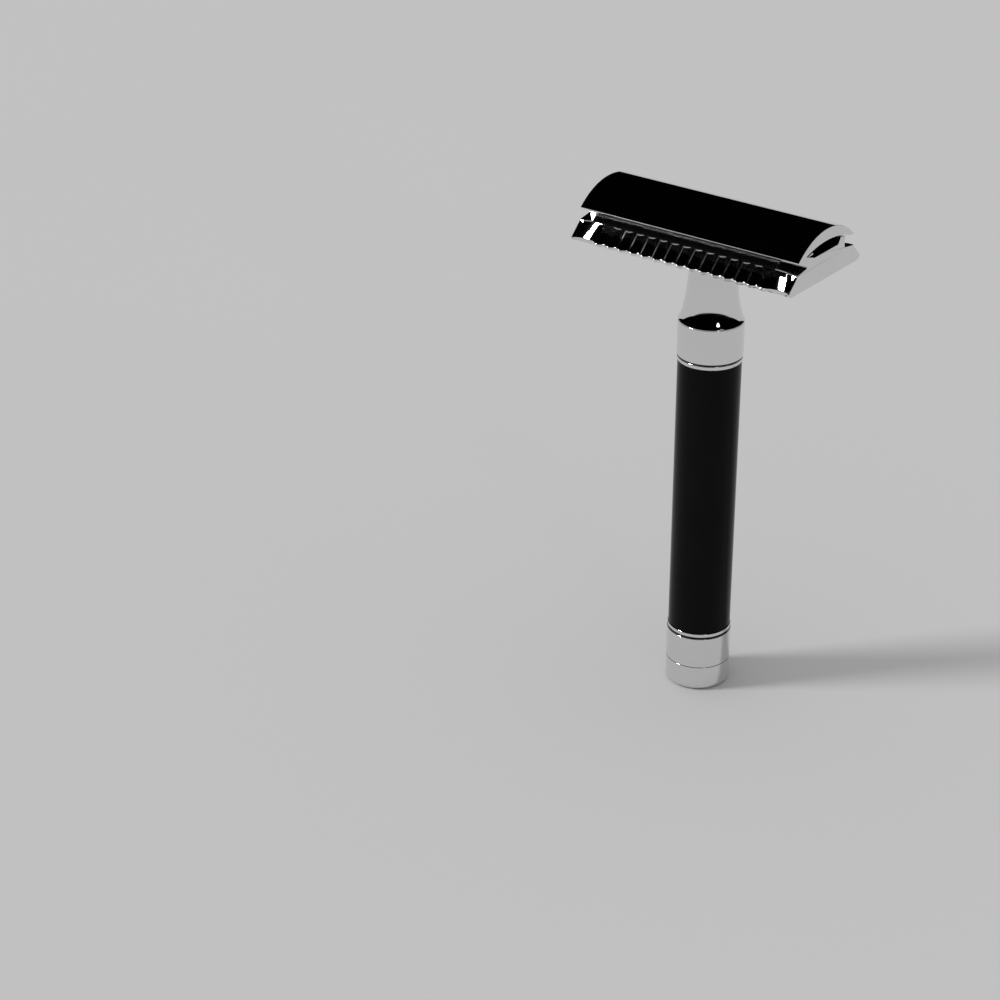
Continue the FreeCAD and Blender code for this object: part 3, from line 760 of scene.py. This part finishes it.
def build_ring(node, slot, rounding, materials):
    """A plain ring with its two outer corners rounded."""
    low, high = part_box(node)
    bore = SPIGOT_RADIUS + FIT_CLEARANCE
    profile = outline([
        (bore, low.z), ((high.x, low.z), rounding), ((high.x, high.z), rounding),
        (bore, high.z)])
    hand_over(lathe("ring", profile), node, slot, materials)


def build_grip_sleeve(materials):
    low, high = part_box("grip_sleeve")
    bore, counterbore = 3.0 * MM, SPIGOT_RADIUS + FIT_CLEARANCE
    depth = 3.5 * MM
    edge = 0.18 * MM
    profile = outline([
        (counterbore, low.z), ((high.x, low.z), edge), ((high.x, high.z), edge),
        (counterbore, high.z), (counterbore, high.z - depth), (bore, high.z - depth),
        (bore, low.z + depth), (counterbore, low.z + depth)])
    hand_over(lathe("grip", profile), "grip_sleeve", "black_resin", materials)


def build_lower_collar(materials):
    low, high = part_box("lower_collar")
    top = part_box("lower_seal")[0].z
    edge = 0.12 * MM
    rod_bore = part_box("core_rod")[1].x + FIT_CLEARANCE
    pocket = 4.35 * MM
    pocket_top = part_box("clamp_washer")[1].z
    profile = outline([
        (pocket, low.z), ((high.x, low.z), edge), ((high.x, top), edge), (SPIGOT_RADIUS, top),
        (SPIGOT_RADIUS, high.z), (rod_bore, high.z), (rod_bore, pocket_top), (pocket, pocket_top)])
    hand_over(lathe("ferrule", profile), "lower_collar", "chrome_fittings", materials)


def build_end_cap(materials):
    low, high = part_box("end_cap")
    rod_low, rod_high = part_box("core_rod")
    rod_bore = rod_high.x + FIT_CLEARANCE
    profile = outline([
        (0, low.z), ((high.x, low.z), 1.0 * MM), ((high.x, high.z), 0.12 * MM),
        (rod_bore, high.z), (rod_bore, rod_low.z), (0, rod_low.z)])
    hand_over(lathe("pommel", profile), "end_cap", "chrome_fittings", materials)


# ---- the studio -------------------------------------------------------------

def build_floor():
    size = 8.0
    floor = mesh_object("floor", [(-size, -size, 0), (size, -size, 0), (size, size, 0),
                                  (-size, size, 0)], [(0, 1, 2, 3)])
    floor.data.materials.append(floor_material("floor_finish"))


def direction(azimuth, elevation):
    """Unit vector from the object towards a place round it, in degrees.

    Azimuth 0 is in front (-Y) and grows towards +X.
    """
    a, e = math.radians(azimuth), math.radians(elevation)
    return Vector((math.sin(a) * math.cos(e), -math.cos(a) * math.cos(e), math.sin(e)))


def add_sun(name, azimuth, elevation, strength, angle):
    light = bpy.data.lights.new(name, "SUN")
    light.energy = strength
    light.angle = math.radians(angle)
    thing = bpy.data.objects.new(name, light)
    thing.rotation_euler = direction(azimuth, elevation).to_track_quat("Z", "Y").to_euler()
    bpy.context.scene.collection.objects.link(thing)


def build_lights():
    """A soft key from the left, a faint small one low in front, and an even fill.

    The fill lights matt surfaces only, so that polished ones mirror a dark room.
    """
    add_sun("key", VIEW_AZIMUTH - 84, 39, 1.52, 12)
    add_sun("front", VIEW_AZIMUTH + 20, 16, 0.08, 10)
    world = bpy.data.worlds.new("studio")
    world.use_nodes = True
    tree = world.node_tree
    back = tree.nodes["Background"]
    path = tree.nodes.new("ShaderNodeLightPath")
    strength = tree.nodes.new("ShaderNodeMapRange")
    strength.inputs["To Min"].default_value = 0.0005
    strength.inputs["To Max"].default_value = 0.58
    tree.links.new(path.outputs["Is Diffuse Ray"], strength.inputs["Value"])
    tree.links.new(strength.outputs["Result"], back.inputs["Strength"])
    back.inputs["Color"].default_value = (1, 1, 1, 1)
    bpy.context.scene.world = world


VIEW_AZIMUTH = 37.25
VIEW_PITCH = 27.0


def build_camera():
    """Long lens, from the front right and above; the razor stands right of centre."""
    camera = bpy.data.cameras.new("camera")
    camera.sensor_width = 36
    camera.lens = 91.08
    camera.clip_start = 0.01
    thing = bpy.data.objects.new("camera", camera)
    thing.location = (0.21984, -0.35070, 0.24705)
    look = direction(VIEW_AZIMUTH, VIEW_PITCH)
    thing.rotation_euler = look.to_track_quat("Z", "Y").to_euler()
    bpy.context.scene.collection.objects.link(thing)
    bpy.context.scene.camera = thing


materials = make_materials()
paint_cad_nodes(materials)
build_top_cap(materials)
build_base_plate(materials)
build_razor_blade(materials)
build_stud(materials)
build_posts(materials)
build_neck(materials)
build_ring("collar", "chrome_fittings", 0.12 * MM, materials)
build_ring("upper_seal", "black_rubber", 0.05 * MM, materials)
build_ring("upper_trim_ring", "chrome_fittings", 0.15 * MM, materials)
build_grip_sleeve(materials)
build_ring("lower_trim_ring", "chrome_fittings", 0.15 * MM, materials)
build_ring("lower_seal", "black_rubber", 0.05 * MM, materials)
build_lower_collar(materials)
build_end_cap(materials)
build_floor()
build_lights()
build_camera()
bpy.context.scene.view_settings.view_transform = "Standard"
